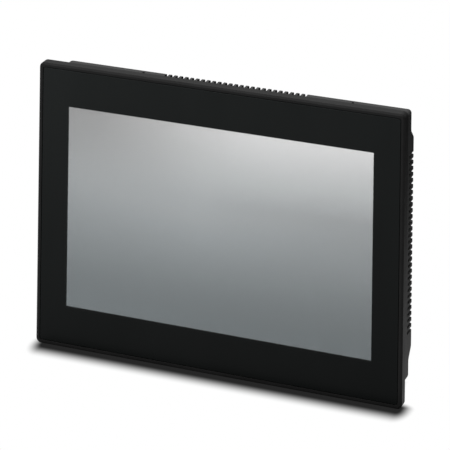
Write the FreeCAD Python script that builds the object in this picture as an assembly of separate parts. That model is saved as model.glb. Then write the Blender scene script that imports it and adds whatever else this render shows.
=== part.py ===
"""Wide 10.1 inch operator touch panel for a cabinet door, as an assembly of separate pieces.

Millimetres. The origin is the centre of the plane where the panel's seal meets the door. +X is to the
right seen from the front, +Z is up, and +Y runs from the front glass to the back of the housing.
"""

import FreeCAD
import Part
import math
import os

# --- driving dimensions -------------------------------------------------------------------------------
FACE_W, FACE_H, FACE_R = 260.0, 191.0, 3.5  # outline of the front frame
HOUSING_W, HOUSING_R = 247.0, 2.5  # outline of the rear cover, behind the door
HOUSING_Z0, HOUSING_Z1 = -90.8, 86.5
FRONT_Y, FLANGE_Y, SEAL_Y = -8.0, -0.8, 0.0  # glass face, back of the frame, face of the seal
LOW_Y, HIGH_Y = 29.2, 35.0  # back of the shallow top and bottom strips, back of the deep middle
DEEP_TOP_Z, DEEP_BOTTOM_Z = 67.0, -72.0  # the middle has its full depth between these heights
TOP_SLOPE, BOTTOM_SLOPE = 5.5, 7.0  # height of the sloped steps above and below the deep middle
WALL = 2.2  # plastic wall of the rear cover
REAR_ROUND, STEP_ROUND = 1.6, 3.0  # rounding of the rear edges and of the sloped steps

RIM_FLAT, RIM_BEVEL, RIM_BEVEL_DEEP = 1.5, 1.2, 1.0  # raised rim round the glass
GLASS_GAP, GLASS_T, GLASS_EDGE = 0.35, 1.8, 0.3
TAPE_T, TAPE_W, TAPE_H = 0.5, 251.0, 181.0  # bonding tape between glass and frame
MODULE_W, MODULE_H = 232.0, 152.0  # opening in the frame for the display module
GASKET_W, GASKET_H, GASKET_BAND, GASKET_T = 258.0, 189.0, 3.2, 2.0

TOUCH_W, TOUCH_H, TOUCH_T = 228.0, 147.6, 0.7
CELL_W, CELL_H, CELL_T = 221.4, 141.0, 1.4  # liquid crystal cell round a lit area of 217 x 136
SHEET_W, SHEET_H, SHEETS_T = 219.0, 138.0, 0.6
TRAY_W, TRAY_H, TRAY_WALL, TRAY_FLOOR = 229.4, 149.1, 1.0, 0.4

SLOT_PITCH, SLOT_W = 4.0, 2.2  # cooling slots
SIDE_SLOTS, SIDE_SLOT_MID_Z, SIDE_SLOT_RUN, SIDE_SLOT_BACK = 30, -2.0, 11.0, 10.0
END_SLOTS, TOP_SLOT_RUN, TOP_SLOT_BACK, BOTTOM_SLOT_RUN, BOTTOM_SLOT_BACK = 26, 6.0, 9.0, 3.5, 5.0
TOP_CLAMPS_X, BOTTOM_CLAMPS_X = (-66.6, 84.0), (-66.2, 81.0)  # slots that the door clamps hook into
CLAMP_SLOT_W, CLAMP_SLOT_Y0, CLAMP_SLOT_Y1 = 1.8, 14.5, 25.5
LABEL_W, LABEL_H, LABEL_RECESS, LABEL_T, LABEL_GAP = 74.0, 42.0, 0.4, 0.25, 0.3
LABEL_X, LABEL_Z = 56.0, -30.0

PLATE_W, PLATE_H, PLATE_T = 236.0, 166.0, 1.2
BOARD_X0, BOARD_X1, BOARD_Z0, BOARD_Z1, BOARD_T = -98.0, 108.0, -87.8, 46.0, 1.6
STANDOFF_H, STANDOFF_ACROSS = 8.0, 5.5

SHANK_R, HEAD_R, HEAD_H, CROSS_L, CROSS_W, CROSS_DEEP = 1.25, 2.75, 2.0, 3.0, 0.7, 1.0  # M3 screws
THREAD_R, CLEAR_R, INSERT_R, INSERT_L = 1.3, 1.7, 2.1, 4.0
COVER_SCREWS = [(x, z) for x in (-113.0, 113.0) for z in (-82.5, 80.0)]
CHASSIS_SCREWS = [(x, z) for x in (-90.0, 0.0, 90.0) for z in (-79.5, 79.5)]
STANDOFFS = [(x, z) for x in (-92.0, 0.0, 92.0) for z in (-50.0, 40.0)]
TOWER_R, TOWER_BORE_R, COVER_SEAT_Y = 3.75, 3.2, 3.2  # screw towers of the rear cover

EARTH_X, EARTH_Y = -103.5, 12.0
POWER_X, POLE_PITCH, POLES = -80.0, 5.08, 3
SERIAL_X, SERIAL_PITCH = -46.0, 25.0
USB_X = (-17.0, 0.0)
LAN_X = (20.0, 39.0)
CARD_X = 62.0
DIP_X, DIP_PITCH, DIPS = 91.0, 2.54, 2
RESET_X = 101.0

# --- levels worked out from them ----------------------------------------------------------------------
GLASS_BACK_Y = FRONT_Y + GLASS_T
LEDGE_Y = GLASS_BACK_Y + TAPE_T
TOUCH_BACK_Y = GLASS_BACK_Y + TOUCH_T
TRAY_Y0, TRAY_Y1 = TOUCH_BACK_Y + 0.1, FLANGE_Y - 0.1
CELL_BACK_Y = TRAY_Y0 + CELL_T
SHEETS_Y = CELL_BACK_Y + 0.1
GUIDE_Y0, GUIDE_Y1 = SHEETS_Y + SHEETS_T + 0.1, TRAY_Y1 - TRAY_FLOOR - 0.05
PLATE_Y0, PLATE_Y1 = FLANGE_Y, FLANGE_Y + PLATE_T
BOARD_Y0 = PLATE_Y1 + STANDOFF_H
BOARD_Y1 = BOARD_Y0 + BOARD_T
WALL_Z = HOUSING_Z0  # outer face of the bottom wall, where the ports open
INNER_Z = WALL_Z + WALL  # inner face of that wall
PORT_Z = WALL_Z + 0.4  # mouths of the ports, just inside the outer face
RECESS_W, RECESS_H = FACE_W - 2 * (RIM_FLAT + RIM_BEVEL), FACE_H - 2 * (RIM_FLAT + RIM_BEVEL)
GLASS_W, GLASS_H = RECESS_W - 2 * GLASS_GAP, RECESS_H - 2 * GLASS_GAP

X, Y, Z = FreeCAD.Vector(1, 0, 0), FreeCAD.Vector(0, 1, 0), FreeCAD.Vector(0, 0, 1)
PAST = 0.5  # how far a cutting tool runs past the face it opens
FIT = 0.1  # side clearance of a piece that slides


# --- shape helpers ------------------------------------------------------------------------------------
def block(x0, x1, y0, y1, z0, z1):
    """Box between two corners."""
    return Part.makeBox(x1 - x0, y1 - y0, z1 - z0, FreeCAD.Vector(x0, y0, z0))


def bar(x, half, y0, y1, z0, z1):
    """Box centred on x."""
    return block(x - half, x + half, y0, y1, z0, z1)


def rod(radius, start, direction, length):
    """Cylinder from a start point along a direction."""
    return Part.makeCylinder(radius, length, FreeCAD.Vector(*start), direction)


def outline(width, height, radius, y, cx=0.0, cz=0.0):
    """Closed wire of a rounded rectangle across Y."""
    hw, hh = width / 2, height / 2
    inset = radius * (1 - math.sqrt(0.5))
    arcs = []
    for sx, sz in ((1, 1), (-1, 1), (-1, -1), (1, -1)):
        on_side = FreeCAD.Vector(cx + sx * hw, y, cz + sz * (hh - radius))
        middle = FreeCAD.Vector(cx + sx * (hw - inset), y, cz + sz * (hh - inset))
        on_end = FreeCAD.Vector(cx + sx * (hw - radius), y, cz + sz * hh)
        arcs.append((on_side, middle, on_end) if sx * sz > 0 else (on_end, middle, on_side))
    edges = []
    for i, (first, middle, last) in enumerate(arcs):
        edges.append(Part.Arc(first, middle, last).toShape())
        edges.append(Part.makeLine(last, arcs[(i + 1) % 4][0]))
    return Part.Wire(edges)


def plate(width, height, radius, y0, y1, cx=0.0, cz=0.0):
    """Rounded rectangular plate between two depths."""
    return Part.Face(outline(width, height, radius, y0, cx, cz)).extrude(Y * (y1 - y0))


def bevelled_plate(width, height, radius, y0, y1, bevel, bevel_deep):
    """Rounded plate with a bevel round its front face."""
    small = outline(width - 2 * bevel, height - 2 * bevel, max(radius - bevel, 0.8), y0)
    lead = Part.makeLoft([small, outline(width, height, radius, y0 + bevel_deep)], True, True)
    return lead.fuse(plate(width, height, radius, y0 + bevel_deep, y1)).removeSplitter()


def prism(points, direction):
    """Straight solid over a closed polygon."""
    corners = [FreeCAD.Vector(*p) for p in points]
    return Part.Face(Part.makePolygon(corners + corners[:1])).extrude(direction)


def hex_post(across, start, direction, length):
    """Hexagonal post along Y or Z."""
    r = across / math.sqrt(3)
    u, v = (X, Z) if abs(direction.y) > 0.5 else (X, Y)
    base = FreeCAD.Vector(*start)
    turns = [i * math.pi / 3 for i in range(6)]
    return prism([base + u * (r * math.cos(a)) + v * (r * math.sin(a)) for a in turns], direction * length)


def union(shapes):
    """One solid from touching shapes."""
    return shapes[0].fuse(shapes[1:]).removeSplitter()


def group(shapes):
    """Several separate solids kept as one node."""
    return Part.makeCompound(shapes)


def screw(x, z, seat_y, length):
    """Pan head screw along Y with a cross recess; the head sits on seat_y."""
    body = union([rod(HEAD_R, (x, seat_y, z), Y, HEAD_H), rod(SHANK_R, (x, seat_y - length, z), Y, length)])
    y0, y1 = seat_y + HEAD_H - CROSS_DEEP, seat_y + HEAD_H + PAST
    across = bar(x, CROSS_L / 2, y0, y1, z - CROSS_W / 2, z + CROSS_W / 2)
    upright = bar(x, CROSS_W / 2, y0, y1, z - CROSS_L / 2, z + CROSS_L / 2)
    return body.cut([across, upright])


# --- front: frame, glass, touch sensor, seal ----------------------------------------------------------
def front_frame():
    """Frame with a bevelled rim, a ledge for the glass and a groove for the seal in its back."""
    body = bevelled_plate(FACE_W, FACE_H, FACE_R, FRONT_Y, FLANGE_Y, RIM_BEVEL, RIM_BEVEL_DEEP)
    tools = [
        plate(RECESS_W, RECESS_H, 1.6, FRONT_Y - PAST, LEDGE_Y),
        plate(MODULE_W, MODULE_H, 1.0, LEDGE_Y - PAST, FLANGE_Y + PAST),
        gasket_ring(SEAL_Y - GASKET_T, FLANGE_Y + PAST),
    ]
    for x, z in COVER_SCREWS + CHASSIS_SCREWS:
        tools.append(rod(INSERT_R, (x, FLANGE_Y - INSERT_L, z), Y, INSERT_L + PAST))
    return body.cut(tools)


def gasket_ring(y0, y1):
    """Rectangular ring that lies outside the opening in the door."""
    inner_w, inner_h = GASKET_W - 2 * GASKET_BAND, GASKET_H - 2 * GASKET_BAND
    return plate(GASKET_W, GASKET_H, 3.0, y0, y1).cut(plate(inner_w, inner_h, 2.0, y0 - PAST, y1 + PAST))


def panel_gasket():
    """Foam seal that stands proud of its groove and meets the door."""
    return gasket_ring(SEAL_Y - GASKET_T, SEAL_Y)


def frame_inserts():
    """Brass thread inserts pressed into the frame."""
    tubes = []
    for x, z in COVER_SCREWS + CHASSIS_SCREWS:
        tube = rod(INSERT_R, (x, FLANGE_Y - INSERT_L, z), Y, INSERT_L)
        tubes.append(tube.cut(rod(THREAD_R, (x, FLANGE_Y - INSERT_L - PAST, z), Y, INSERT_L + 2 * PAST)))
    return group(tubes)


def cover_glass():
    """Glass pane with a fine ground edge, flush with the rim."""
    return bevelled_plate(GLASS_W, GLASS_H, 1.3, FRONT_Y, GLASS_BACK_Y, GLASS_EDGE, GLASS_EDGE)


def glass_adhesive():
    """Closed frame of bonding tape under the edge of the glass."""
    opening = plate(MODULE_W + 1, MODULE_H + 1, 1.0, GLASS_BACK_Y - PAST, LEDGE_Y + PAST)
    return plate(TAPE_W, TAPE_H, 1.0, GLASS_BACK_Y, LEDGE_Y).cut(opening)


def touch_sensor():
    """Glass touch sensor bonded to the back of the cover glass."""
    return plate(TOUCH_W, TOUCH_H, 0.8, GLASS_BACK_Y, TOUCH_BACK_Y)


# --- display module -----------------------------------------------------------------------------------
def lcd_panel():
    """Liquid crystal cell with its polarisers."""
    return plate(CELL_W, CELL_H, 0.5, TRAY_Y0, CELL_BACK_Y)


def optical_sheets():
    """Stack of diffuser and prism films behind the cell."""
    return plate(SHEET_W, SHEET_H, 0.5, SHEETS_Y, SHEETS_Y + SHEETS_T)


def light_guide():
    """Clear plate that spreads the edge light over the display."""
    return plate(SHEET_W, SHEET_H, 0.5, GUIDE_Y0, GUIDE_Y1)


def led_strip():
    """Thin board with the row of backlight lamps along the lower edge of the light guide."""
    lamp_z1 = -SHEET_H / 2 - 0.4
    board_z1 = lamp_z1 - 2.5
    parts = [bar(0.0, 108.0, GUIDE_Y0, GUIDE_Y1, board_z1 - 1.0, board_z1)]
    for x in range(-102, 103, 12):
        parts.append(bar(x, 1.5, GUIDE_Y0 + 0.2, GUIDE_Y1 - 0.2, board_z1, lamp_z1))
    return union(parts)


def backlight_tray():
    """Folded metal tray that holds the display module together."""
    w, h = TRAY_W - 2 * TRAY_WALL, TRAY_H - 2 * TRAY_WALL
    hollow = plate(w, h, 0.5, TRAY_Y0 - PAST, TRAY_Y1 - TRAY_FLOOR)
    return plate(TRAY_W, TRAY_H, 1.0, TRAY_Y0, TRAY_Y1).cut(hollow)


# --- cables between the display and the board ---------------------------------------------------------
TAIL_X, TAIL_HALF, TAIL_T, TAIL_Z = -20.0, 10.0, 0.3, -75.6  # touch tail, just inside the frame's opening
RIBBON_X, RIBBON_HALF, RIBBON_T, RIBBON_Z, RIBBON_DROP = 40.0, 15.0, 0.5, 20.0, 12.0
WIRES_X, WIRES_Z, WIRE_R, WIRE_PITCH = -60.0, -30.0, 0.6, 2.0
HEADER_H = 2.2
HEADER_Y = BOARD_Y0 - HEADER_H
TOUCH_HEADER_Z0, TOUCH_HEADER_Z1 = -73.0, -68.0


def touch_tail():
    """Flexible tail that carries the touch signals round the display to the board."""
    front_y, end_y = GLASS_BACK_Y + 0.1, BOARD_Y0 - 1.0
    front = bar(TAIL_X, TAIL_HALF, front_y, front_y + TAIL_T, TAIL_Z, -TOUCH_H / 2)
    along = bar(TAIL_X, TAIL_HALF, front_y, end_y, TAIL_Z, TAIL_Z + TAIL_T)
    end = bar(TAIL_X, TAIL_HALF, end_y - TAIL_T, end_y, TAIL_Z, TOUCH_HEADER_Z0)
    return union([front, along, end])


def display_cable():
    """Flat ribbon from the display module to the board."""
    middle_y, low_z = 4.0, RIBBON_Z - RIBBON_DROP
    out = bar(RIBBON_X, RIBBON_HALF, TRAY_Y1, middle_y, RIBBON_Z, RIBBON_Z + RIBBON_T)
    along = bar(RIBBON_X, RIBBON_HALF, middle_y - RIBBON_T, middle_y, low_z, RIBBON_Z + RIBBON_T)
    back = bar(RIBBON_X, RIBBON_HALF, middle_y - RIBBON_T, HEADER_Y, low_z - RIBBON_T, low_z)
    return union([out, along, back])


def backlight_cable():
    """Pair of round wires that feed the backlight."""
    places = [WIRES_X - WIRE_PITCH / 2, WIRES_X + WIRE_PITCH / 2]
    return group([rod(WIRE_R, (x, TRAY_Y1, WIRES_Z), Y, HEADER_Y - TRAY_Y1) for x in places])


def cable_headers():
    """Sockets on the front of the board for the three display cables."""
    half = 2.5
    touch = bar(TAIL_X, TAIL_HALF + 1, HEADER_Y, BOARD_Y0, TOUCH_HEADER_Z0, TOUCH_HEADER_Z1)
    z = RIBBON_Z - RIBBON_DROP - RIBBON_T / 2
    display = bar(RIBBON_X, RIBBON_HALF + 1, HEADER_Y, BOARD_Y0, z - half, z + half)
    light = bar(WIRES_X, WIRE_PITCH + 1.5, HEADER_Y, BOARD_Y0, WIRES_Z - half, WIRES_Z + half)
    return group([touch, display, light])


# --- chassis and board --------------------------------------------------------------------------------
def chassis_plate():
    """Sheet metal plate that clamps the display in the frame and carries the board."""
    y0, y1 = PLATE_Y0 - PAST, PLATE_Y1 + PAST
    tools = [rod(CLEAR_R, (x, y0, z), Y, y1 - y0) for x, z in CHASSIS_SCREWS]
    tools += [rod(SHANK_R + 0.1, (x, y0, z), Y, y1 - y0) for x, z in STANDOFFS]
    tools += [bar(x, 6.0, y0, y1, z - 6.0, z + 6.0) for x, z in COVER_SCREWS]
    tools.append(bar(TAIL_X, TAIL_HALF + 2, y0, y1, TAIL_Z - 1.5, TAIL_Z + 2.0))
    tools.append(bar(RIBBON_X, RIBBON_HALF + 2, y0, y1, RIBBON_Z - 5, RIBBON_Z + 5))
    tools.append(bar(WIRES_X, 4.0, y0, y1, WIRES_Z - 4, WIRES_Z + 4))
    return plate(PLATE_W, PLATE_H, 2.0, PLATE_Y0, PLATE_Y1).cut(tools)


def chassis_screws():
    """Screws that hold the chassis plate to the frame."""
    return group([screw(x, z, PLATE_Y1, 5.0) for x, z in CHASSIS_SCREWS])


def board_standoffs():
    """Hexagonal posts between the chassis plate and the board."""
    posts = []
    for x, z in STANDOFFS:
        bore = rod(THREAD_R, (x, PLATE_Y1 - PAST, z), Y, STANDOFF_H + 2 * PAST)
        posts.append(hex_post(STANDOFF_ACROSS, (x, PLATE_Y1, z), Y, STANDOFF_H).cut(bore))
    return group(posts)


def main_board():
    """Printed circuit board with its mounting holes."""
    y0, depth = BOARD_Y0 - PAST, BOARD_T + 2 * PAST
    tools = [rod(CLEAR_R - 0.1, (x, y0, z), Y, depth) for x, z in STANDOFFS]
    tools += [rod(HEAD_R + 0.65, (x, y0, z), Y, depth) for x, z in CHASSIS_SCREWS if z < 0]
    return block(BOARD_X0, BOARD_X1, BOARD_Y0, BOARD_Y1, BOARD_Z0, BOARD_Z1).cut(tools)


def board_screws():
    """Screws that hold the board to its posts."""
    return group([screw(x, z, BOARD_Y1, 6.0) for x, z in STANDOFFS])


CPU_X, CPU_Z, CPU_HALF, CPU_T, PAD_T = -14.0, 4.0, 11.0, 1.6, 0.5
SINK_Y = BOARD_Y1 + CPU_T + PAD_T
SINK_HALF, SINK_BASE, SINK_H, SINK_FINS, FIN_T = 25.0, 3.0, 16.0, 10, 1.4
SINK_PINS = [(CPU_X - 19.0, CPU_Z + 19.0), (CPU_X + 19.0, CPU_Z - 19.0)]  # opposite corners of the heatsink
PIN_R, PIN_HEAD_R, PIN_FLOOR, PIN_POCKET_R = 1.4, 2.6, 2.0, 4.0


def processor():
    """Main processor package."""
    return bar(CPU_X, CPU_HALF, BOARD_Y1, BOARD_Y1 + CPU_T, CPU_Z - CPU_HALF, CPU_Z + CPU_HALF)


def thermal_pad():
    """Soft pad between processor and heatsink."""
    half = CPU_HALF - 1
    return bar(CPU_X, half, SINK_Y - PAD_T, SINK_Y, CPU_Z - half, CPU_Z + half)


def heatsink():
    """Extruded heatsink with upright fins and two pockets for its pins."""
    z0, z1 = CPU_Z - SINK_HALF, CPU_Z + SINK_HALF
    parts = [bar(CPU_X, SINK_HALF, SINK_Y, SINK_Y + SINK_BASE, z0, z1)]
    step = (2 * SINK_HALF - FIN_T) / (SINK_FINS - 1)
    for i in range(SINK_FINS):
        x0 = CPU_X - SINK_HALF + i * step
        parts.append(block(x0, x0 + FIN_T, SINK_Y, SINK_Y + SINK_H, z0, z1))
    tools = []
    for x, z in SINK_PINS:
        tools.append(rod(PIN_POCKET_R, (x, SINK_Y + PIN_FLOOR, z), Y, SINK_H))
        tools.append(rod(PIN_R + 0.2, (x, SINK_Y - PAST, z), Y, SINK_H))
    return union(parts).cut(tools)


def heatsink_pins():
    """Push pins that hold the heatsink on the board."""
    y0 = SINK_Y + PIN_FLOOR
    heads = [rod(PIN_HEAD_R, (x, y0, z), Y, 1.5) for x, z in SINK_PINS]
    stems = [rod(PIN_R, (x, BOARD_Y1, z), Y, y0 - BOARD_Y1) for x, z in SINK_PINS]
    return group([union(pair) for pair in zip(heads, stems)])


def memory_chips():
    """Memory packages beside the processor."""
    places = [(24, 22), (24, 4), (24, -14), (40, 14)]
    return group([bar(x, 5.0, BOARD_Y1, BOARD_Y1 + 1.1, z - 7, z + 7) for x, z in places])


def interface_chips():
    """Controllers of the network, serial and supply circuits."""
    places = [(20, -50, 5), (39, -50, 5), (-46, -58, 4), (62, -32, 4), (78, 6, 6), (-62, -62, 3)]
    return group([bar(x, half, BOARD_Y1, BOARD_Y1 + 1.2, z - half, z + half) for x, z, half in places])


def power_capacitors():
    """Upright capacitors of the power supply."""
    places = [(-84, -58), (-73, -58), (-84, -38)]
    return group([rod(4.0, (x, BOARD_Y1, z), Y, 11.0) for x, z in places])


def power_inductor():
    """Shielded power inductor."""
    return plate(12.0, 12.0, 3.0, BOARD_Y1, BOARD_Y1 + 6.0, -70.0, -38.0)


COIN_X, COIN_Z, COIN_R, COIN_T, CUP_FLOOR, CUP_H = -66.0, 4.0, 10.0, 3.2, 1.2, 4.6


def coin_cell():
    """Clock battery."""
    return rod(COIN_R, (COIN_X, BOARD_Y1 + CUP_FLOOR, COIN_Z), Y, COIN_T)


def coin_cell_holder():
    """Plastic cup for the clock battery, with a gap in its wall to lift the battery out."""
    floor_y = BOARD_Y1 + CUP_FLOOR
    hollow = rod(COIN_R + FIT, (COIN_X, floor_y, COIN_Z), Y, CUP_H)
    gap = bar(COIN_X, 5.0, floor_y, BOARD_Y1 + CUP_H + PAST, COIN_Z + 6, COIN_Z + 14)
    return rod(COIN_R + 1.8, (COIN_X, BOARD_Y1, COIN_Z), Y, CUP_H).cut([hollow, gap])


# --- data ports along the bottom wall -----------------------------------------------------------------
LAN_HALF, LAN_H, LAN_L = 8.0, 13.4, 21.0
LAN_FLOOR_Y = BOARD_Y1 + 1.4
LAN_HOLE_HALF, LAN_HOLE_H, LAN_HOLE_L = 5.95, 8.2, 14.0
USB_HALF, USB_H, USB_L, USB_SHELL = 6.6, 6.6, 14.0, 0.4
SERIAL_H, SERIAL_FLANGE_HALF, SERIAL_FLANGE_T = 12.5, 15.4, 1.0
SERIAL_Y = BOARD_Y1 + SERIAL_H / 2
SERIAL_Z = INNER_Z + 0.2  # face of the serial flange, just inside the wall
SERIAL_REACH = 6.2  # how far the serial shell stands out from its flange


def ethernet_jacks():
    """Shielded network sockets, each with a stepped opening for the plug and its latch."""
    jacks = []
    for x in LAN_X:
        y0, z0, z1 = LAN_FLOOR_Y, PORT_Z - PAST, PORT_Z + LAN_HOLE_L
        hole = bar(x, LAN_HOLE_HALF, y0, y0 + LAN_HOLE_H, z0, z1)
        latch = bar(x, 3.1, y0, y0 + LAN_HOLE_H + 1.5, z0, z1)
        tip = bar(x, 2.0, y0, y0 + LAN_HOLE_H + 2.9, z0, PORT_Z + 9.0)
        body = bar(x, LAN_HALF, BOARD_Y1, BOARD_Y1 + LAN_H, PORT_Z, PORT_Z + LAN_L)
        jacks.append(body.cut([hole, latch, tip]))
    return group(jacks)


def ethernet_contacts():
    """Eight spring wires in each network socket."""
    places = [x + (i - 3.5) * 1.02 for x in LAN_X for i in range(8)]
    return group([bar(x, 0.2, LAN_FLOOR_Y, LAN_FLOOR_Y + 0.5, PORT_Z + 3.0, PORT_Z + 13.5) for x in places])


def usb_shells():
    """Folded metal shells of the two host ports."""
    shells = []
    t = USB_SHELL
    for x in USB_X:
        shell = bar(x, USB_HALF, BOARD_Y1, BOARD_Y1 + USB_H, PORT_Z, PORT_Z + USB_L)
        hollow = bar(x, USB_HALF - t, BOARD_Y1 + t, BOARD_Y1 + USB_H - t, PORT_Z - PAST, PORT_Z + USB_L - t)
        shells.append(shell.cut(hollow))
    return group(shells)


def usb_tongues():
    """Plastic contact carriers inside the host ports."""
    tongues = []
    y0 = BOARD_Y1 + USB_SHELL
    for x in USB_X:
        back = bar(x, 6.1, y0, y0 + 5.7, PORT_Z + 10.5, PORT_Z + USB_L - USB_SHELL)
        tongues.append(union([back, bar(x, 5.2, y0 + 3.4, y0 + 5.2, PORT_Z + 1.2, PORT_Z + 10.5)]))
    return group(tongues)


def d_shape(half_wide, slant, half_h, z, reach):
    """Solid of D shaped section, wide side towards the back."""
    half_narrow = half_wide - slant
    corners = [(-half_wide, half_h), (half_wide, half_h), (half_narrow, -half_h), (-half_narrow, -half_h)]
    return prism([(SERIAL_X + x, SERIAL_Y + y, z) for x, y in corners], Z * -reach)


def serial_port():
    """Nine pole serial port: flange, D shaped shell and the block behind it."""
    z1 = SERIAL_Z + SERIAL_FLANGE_T
    flange = bar(SERIAL_X, SERIAL_FLANGE_HALF, BOARD_Y1, BOARD_Y1 + SERIAL_H, SERIAL_Z, z1)
    back = bar(SERIAL_X, 9.5, BOARD_Y1, BOARD_Y1 + 10.5, z1, z1 + 8.0)
    shell = d_shape(9.0, 1.1, 4.2, SERIAL_Z + PAST, SERIAL_REACH + PAST)
    hollow = d_shape(8.5, 1.1, 3.7, SERIAL_Z, SERIAL_REACH + PAST)
    z0, depth = SERIAL_Z - PAST, SERIAL_FLANGE_T + 2 * PAST
    holes = [rod(1.6, (x, SERIAL_Y, z0), Z, depth) for x in serial_screw_places()]
    return union([flange, back, shell]).cut([hollow] + holes)


def serial_screw_places():
    """Centres of the two threaded posts along X."""
    return [SERIAL_X - SERIAL_PITCH / 2, SERIAL_X + SERIAL_PITCH / 2]


def serial_pins():
    """Two rows of contact pins of the serial port."""
    pins = []
    for row_y, count in ((1.42, 5), (-1.42, 4)):
        for i in range(count):
            x = SERIAL_X + (i - (count - 1) / 2) * 2.74
            pins.append(rod(0.5, (x, SERIAL_Y + row_y, SERIAL_Z), Z * -1, 5.4))
    return group(pins)


def serial_jackscrews():
    """Hexagonal threaded posts for the screws of a serial plug."""
    posts = []
    for x in serial_screw_places():
        foot = (x, SERIAL_Y, SERIAL_Z)
        post = union([hex_post(5.0, foot, Z * -1, 7.0), rod(1.4, foot, Z, 4.0)])
        posts.append(post.cut(rod(THREAD_R, (x, SERIAL_Y, SERIAL_Z - 7.0 - PAST), Z, 6.0 + PAST)))
    return group(posts)


# --- card, setting switches, reset --------------------------------------------------------------------
CARD_W, CARD_T, CARD_L, CARD_CORNER = 24.0, 2.1, 32.0, 4.0
CARD_Y = BOARD_Y1 + 0.7
CARD_Z = WALL_Z - 1.0  # the card stands a little out of the wall
CARD_PUSH = 1.2  # room to push the card in, which frees it
DIP_Y, DIP_TRAVEL, DIP_DEPTH, DIP_H = BOARD_Y1 + 3.4, 1.4, 6.4, 6.6
DIP_HALF = DIPS * DIP_PITCH / 2 + 0.6
DIP_Z = WALL_Z + 1.6
LEVER_HALF = 0.6
RESET_Y, RESET_R, RESET_PUSH = BOARD_Y1 + 3.2, 1.4, 0.5


def card_socket():
    """Low metal socket for the memory card."""
    z0, z1 = INNER_Z + 0.3, CARD_Z + CARD_L + CARD_PUSH
    shell = bar(CARD_X, CARD_W / 2 + 2.0, BOARD_Y1, CARD_Y + CARD_T + 0.7, z0, z1 + 1.0)
    return shell.cut(bar(CARD_X, CARD_W / 2 + FIT, CARD_Y - FIT, CARD_Y + CARD_T + FIT, z0 - PAST, z1))


def memory_card():
    """Removable memory card with its cut corner."""
    x0, x1 = CARD_X - CARD_W / 2, CARD_X + CARD_W / 2
    z0, z1 = CARD_Z, CARD_Z + CARD_L
    corners = [(x0, z0), (x1, z0), (x1, z1 - CARD_CORNER), (x1 - CARD_CORNER, z1), (x0, z1)]
    return prism([(x, CARD_Y, z) for x, z in corners], Y * CARD_T)


def dip_places():
    """Centre of each switch lever along X."""
    return [DIP_X + (i - (DIPS - 1) / 2) * DIP_PITCH for i in range(DIPS)]


def dip_switch():
    """Housing of the setting switches, with one slot per lever."""
    reach = DIP_TRAVEL / 2 + LEVER_HALF + FIT
    slots = [bar(x, 0.75, DIP_Y - reach, DIP_Y + reach, DIP_Z - PAST, DIP_Z + 2.4) for x in dip_places()]
    return bar(DIP_X, DIP_HALF, BOARD_Y1, BOARD_Y1 + DIP_H, DIP_Z, DIP_Z + DIP_DEPTH).cut(slots)


def dip_lever(x):
    """One switch lever, in its off position at the front end of its slot."""
    y = DIP_Y - DIP_TRAVEL / 2
    foot = bar(x, 0.65, y - LEVER_HALF, y + LEVER_HALF, DIP_Z + 0.4, DIP_Z + 2.3)
    return union([foot, bar(x, 0.5, y - 0.4, y + 0.4, DIP_Z - 1.0, DIP_Z + 0.4)])


def reset_switch():
    """Body of the reset switch behind the bottom wall."""
    z0 = INNER_Z + 0.4
    bore = rod(RESET_R + FIT, (RESET_X, RESET_Y, z0 - PAST), Z, PAST + 2.0 + RESET_PUSH)
    return bar(RESET_X, 3.0, BOARD_Y1, RESET_Y + 3.0, z0, z0 + 5.0).cut(bore)


def reset_button():
    """Plunger of the reset switch, reached through a hole in the bottom wall."""
    z0 = WALL_Z + 0.5
    return rod(RESET_R, (RESET_X, RESET_Y, z0), Z, INNER_Z + 0.4 + 1.9 - z0)


# --- pluggable power connector ------------------------------------------------------------------------
POWER_HALF = POLES * POLE_PITCH / 2
HEADER_HALF, HEADER_DEEP, HEADER_WALL = POWER_HALF + 1.4, 8.8, 1.0
PLUG_Z0, PLUG_Z1 = WALL_Z - 4.6, WALL_Z + 1.6  # the plug stands part way into the wall
HEADER_Z0 = PLUG_Z1 + 0.2
HEADER_Z1 = HEADER_Z0 + 12.0
CONTACT_Y = BOARD_Y1 + 4.4
CONTACT_Z1 = HEADER_Z1 - 3.0  # floor of the header
PLUG_HALF = POWER_HALF + 0.2
PLUG_Y0, PLUG_Y1 = BOARD_Y1 - 0.4, BOARD_Y1 + 12.4
NOSE_Z1 = CONTACT_Z1 - 0.5
CAGE_Z, CAGE_HALF, CAGE_Y0, CAGE_H, CAGE_TRAVEL = PLUG_Z0 + 3.4, 2.0, BOARD_Y1 + 0.1, 4.4, 2.0
CLAMP_HEAD_R, CLAMP_HEAD_H, CLAMP_SHANK_R = 2.0, 2.0, 1.15
CLAMP_TOP_Y = PLUG_Y1 - 0.6
WIRE_HOLE_R = 1.7


def pole_places():
    """Centre of each pole along X."""
    return [POWER_X + (i - (POLES - 1) / 2) * POLE_PITCH for i in range(POLES)]


def power_header():
    """Fixed half of the power connector, soldered to the board."""
    shell = bar(POWER_X, HEADER_HALF, BOARD_Y1, BOARD_Y1 + HEADER_DEEP, HEADER_Z0, HEADER_Z1)
    y0, y1 = BOARD_Y1 + HEADER_WALL, BOARD_Y1 + HEADER_DEEP - HEADER_WALL
    return shell.cut(bar(POWER_X, HEADER_HALF - HEADER_WALL, y0, y1, HEADER_Z0 - PAST, CONTACT_Z1))


def power_pins():
    """Contact pins of the power header."""
    y0, y1 = CONTACT_Y - 0.5, CONTACT_Y + 0.5
    return group([bar(x, 0.5, y0, y1, CONTACT_Z1 - 7.0, CONTACT_Z1) for x in pole_places()])


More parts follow.
